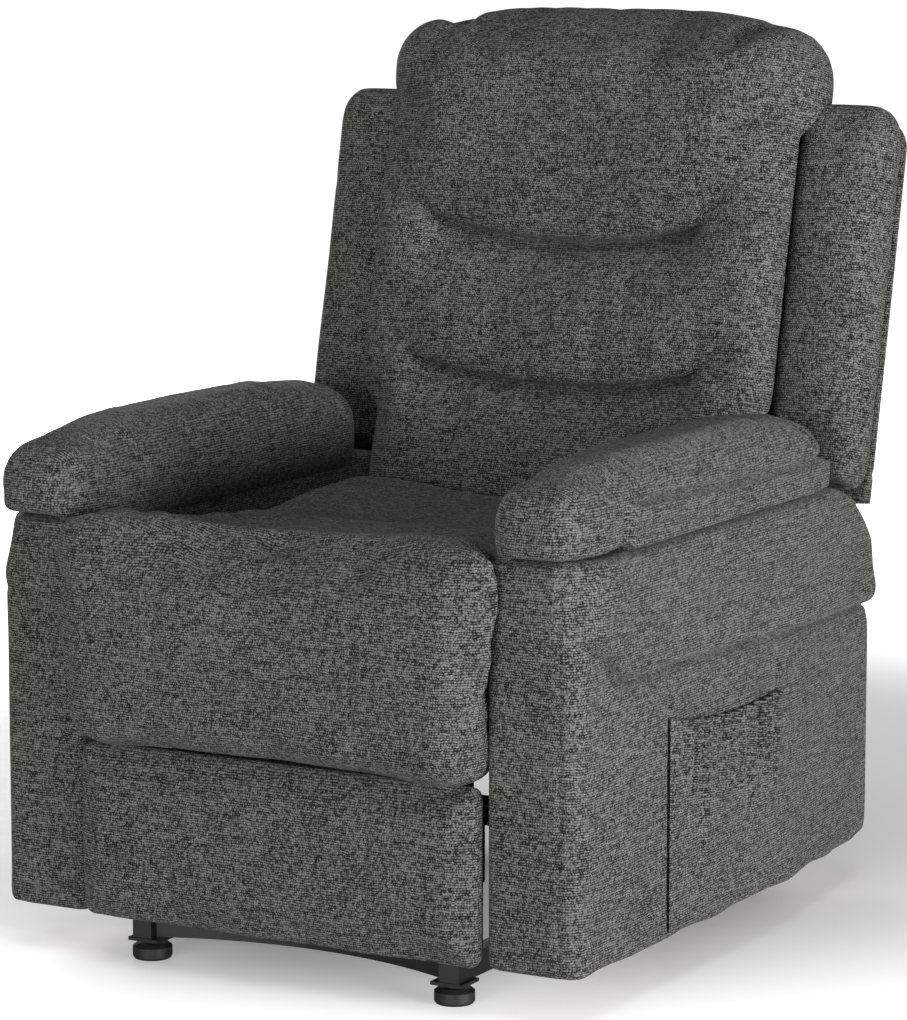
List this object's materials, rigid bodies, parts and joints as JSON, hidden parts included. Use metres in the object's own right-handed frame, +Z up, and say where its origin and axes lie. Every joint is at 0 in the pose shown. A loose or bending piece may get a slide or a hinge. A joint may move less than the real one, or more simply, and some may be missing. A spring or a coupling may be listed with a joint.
{
  "type": "recliner armchair",
  "caption": "Upholstered recliner armchair with pillow arms, a padded reclining back with a head roll and side wings, a fold-out footrest and a side pocket.",
  "frame": {"origin": "on the floor under the middle of the closed chair's bounding box", "axes": "-Y the way the chair faces, +X the sitter's left, +Z up"},
  "size_m": [0.784, 0.9001, 1.0652],
  "materials": {
    "cloth": "coarse heathered chenille weave, matt",
    "timber": "raw sawn plywood",
    "black_steel": "satin black powder coat",
    "zinc": "bright zinc plate",
    "black_plastic": "fine moulded grain",
    "webbing": "woven elastic strap"
  },
  "bodies": {
    "base": {"floor_rail_left": "black_steel", "floor_rail_right": "black_steel", "floor_rail_caps": "black_plastic", "front_crossbar": "black_steel", "rear_crossbar": "black_steel", "floor_glides": "black_plastic", "chassis_uprights": "black_steel", "seat_side_rails": "timber", "seat_cross_rails": "timber", "seat_webbing": "webbing", "seat_cushion": "cloth", "chassis_plate_left": "black_steel", "chassis_plate_right": "black_steel", "plate_bolts": "zinc", "chassis_rivets": "zinc", "arm_frame_left": "timber", "arm_frame_right": "timber", "arm_cover_left": "cloth", "arm_cover_right": "cloth", "arm_pad_left": "cloth", "arm_pad_right": "cloth", "arm_brackets": "black_steel", "arm_bolts": "zinc", "side_pocket": "cloth", "lever_bezel": "black_plastic", "lever_pin": "zinc", "release_cable": "webbing", "hinge_brackets": "black_steel", "hinge_pins": "zinc"},
    "recliner_back": {"back_posts": "timber", "back_rails": "timber", "back_webbing": "webbing", "back_cushion": "cloth", "head_pillow": "cloth", "back_wing_left": "cloth", "back_wing_right": "cloth", "back_shell": "cloth", "back_hinge_straps": "black_steel", "back_bolts": "zinc"},
    "link_a": {"link_a_left": "black_steel", "link_a_right": "black_steel", "link_a_rivets": "zinc"},
    "link_b": {"link_b_left": "black_steel", "link_b_right": "black_steel", "torque_tube": "black_steel"},
    "link_c": {"link_c_left": "black_steel", "link_c_right": "black_steel", "link_c_rivets": "zinc"},
    "link_d": {"link_d_left": "black_steel", "link_d_right": "black_steel"},
    "footrest": {"footrest_brackets": "black_steel", "footrest_board": "timber", "footrest_pad": "cloth", "footrest_screws": "zinc", "link_d_rivets": "zinc"},
    "lever": {"release_lever": "black_plastic"}
  },
  "joints": [
    {"name": "recline", "type": "hinge", "parent": "base", "child": "recliner_back", "pos_m": [0, 0.215, 0.3], "axis": [-1, 0, 0], "range_deg": [0, 38]},
    {"name": "footrest_extend", "type": "hinge", "parent": "base", "child": "link_a", "pos_m": [0, -0.3363, 0.2537], "axis": [-1, 0, 0], "range_deg": [0, 98]},
    {"name": "link_b_swing", "type": "hinge", "parent": "base", "child": "link_b", "pos_m": [0, -0.1952, 0.263], "axis": [-1, 0, 0], "range_deg": [0, 98]},
    {"name": "link_c_swing", "type": "hinge", "parent": "link_a", "child": "link_c", "pos_m": [0, -0.2874, 0.0853], "axis": [-1, 0, 0], "range_deg": [-98, 0]},
    {"name": "link_d_swing", "type": "hinge", "parent": "link_a", "child": "link_d", "pos_m": [0, -0.2565, 0.0688], "axis": [-1, 0, 0], "range_deg": [-100, 0]},
    {"name": "footrest_turn", "type": "hinge", "parent": "link_c", "child": "footrest", "pos_m": [0, -0.3643, 0.2158], "axis": [-1, 0, 0], "range_deg": [0, 92.5]},
    {"name": "lever_pull", "type": "hinge", "parent": "base", "child": "lever", "pos_m": [-0.368, -0.104, 0.23], "axis": [0, 0, 1], "range_deg": [0, 35], "stiffness_Nm_per_rad": 1.2}
  ],
  "couplings": [
    {"joint": "link_b_swing", "follows": "footrest_extend", "ratio": 1},
    {"joint": "link_c_swing", "follows": "footrest_extend", "ratio": -1},
    {"joint": "link_d_swing", "follows": "footrest_extend", "ratio": -1.0137},
    {"joint": "footrest_turn", "follows": "footrest_extend", "ratio": 0.9389}
  ]
}
